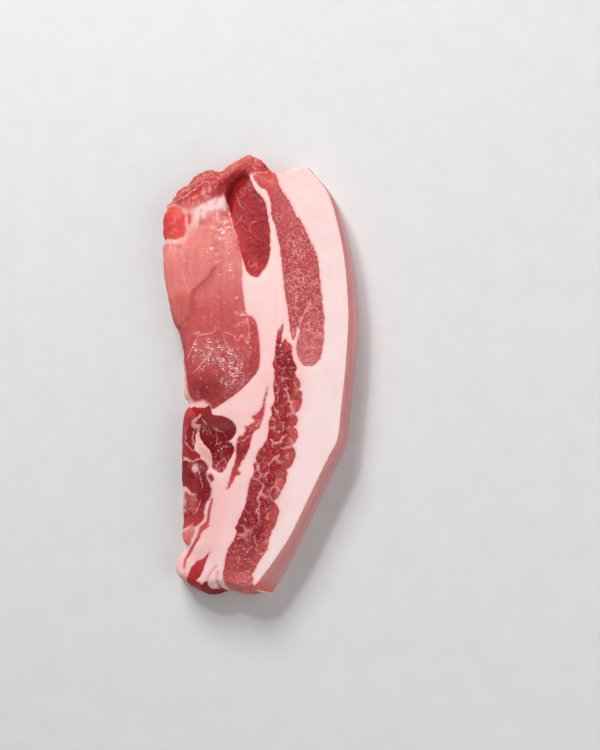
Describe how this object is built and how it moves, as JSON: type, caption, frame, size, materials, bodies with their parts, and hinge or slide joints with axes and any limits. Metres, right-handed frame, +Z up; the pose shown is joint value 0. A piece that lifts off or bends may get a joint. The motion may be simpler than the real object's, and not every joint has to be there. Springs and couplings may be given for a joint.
{
  "type": "raw pork ribeye slice",
  "caption": "Raw pork ribeye slice, long and flat, with a round eye of lean, streaks of lean in white fat, and a rind down one long edge.",
  "frame": {"origin": "on the board, under the middle of the slice's box", "axes": "+X out through the rind, +Y along the slice to its loin end, +Z up through the cut face"},
  "size_m": [0.0956, 0.2158, 0.0205],
  "materials": {
    "raw_pork": "moist raw flesh and fat, soft sheen"
  },
  "bodies": {
    "root": {"pork_ribeye": "raw_pork"}
  },
  "joints": []
}
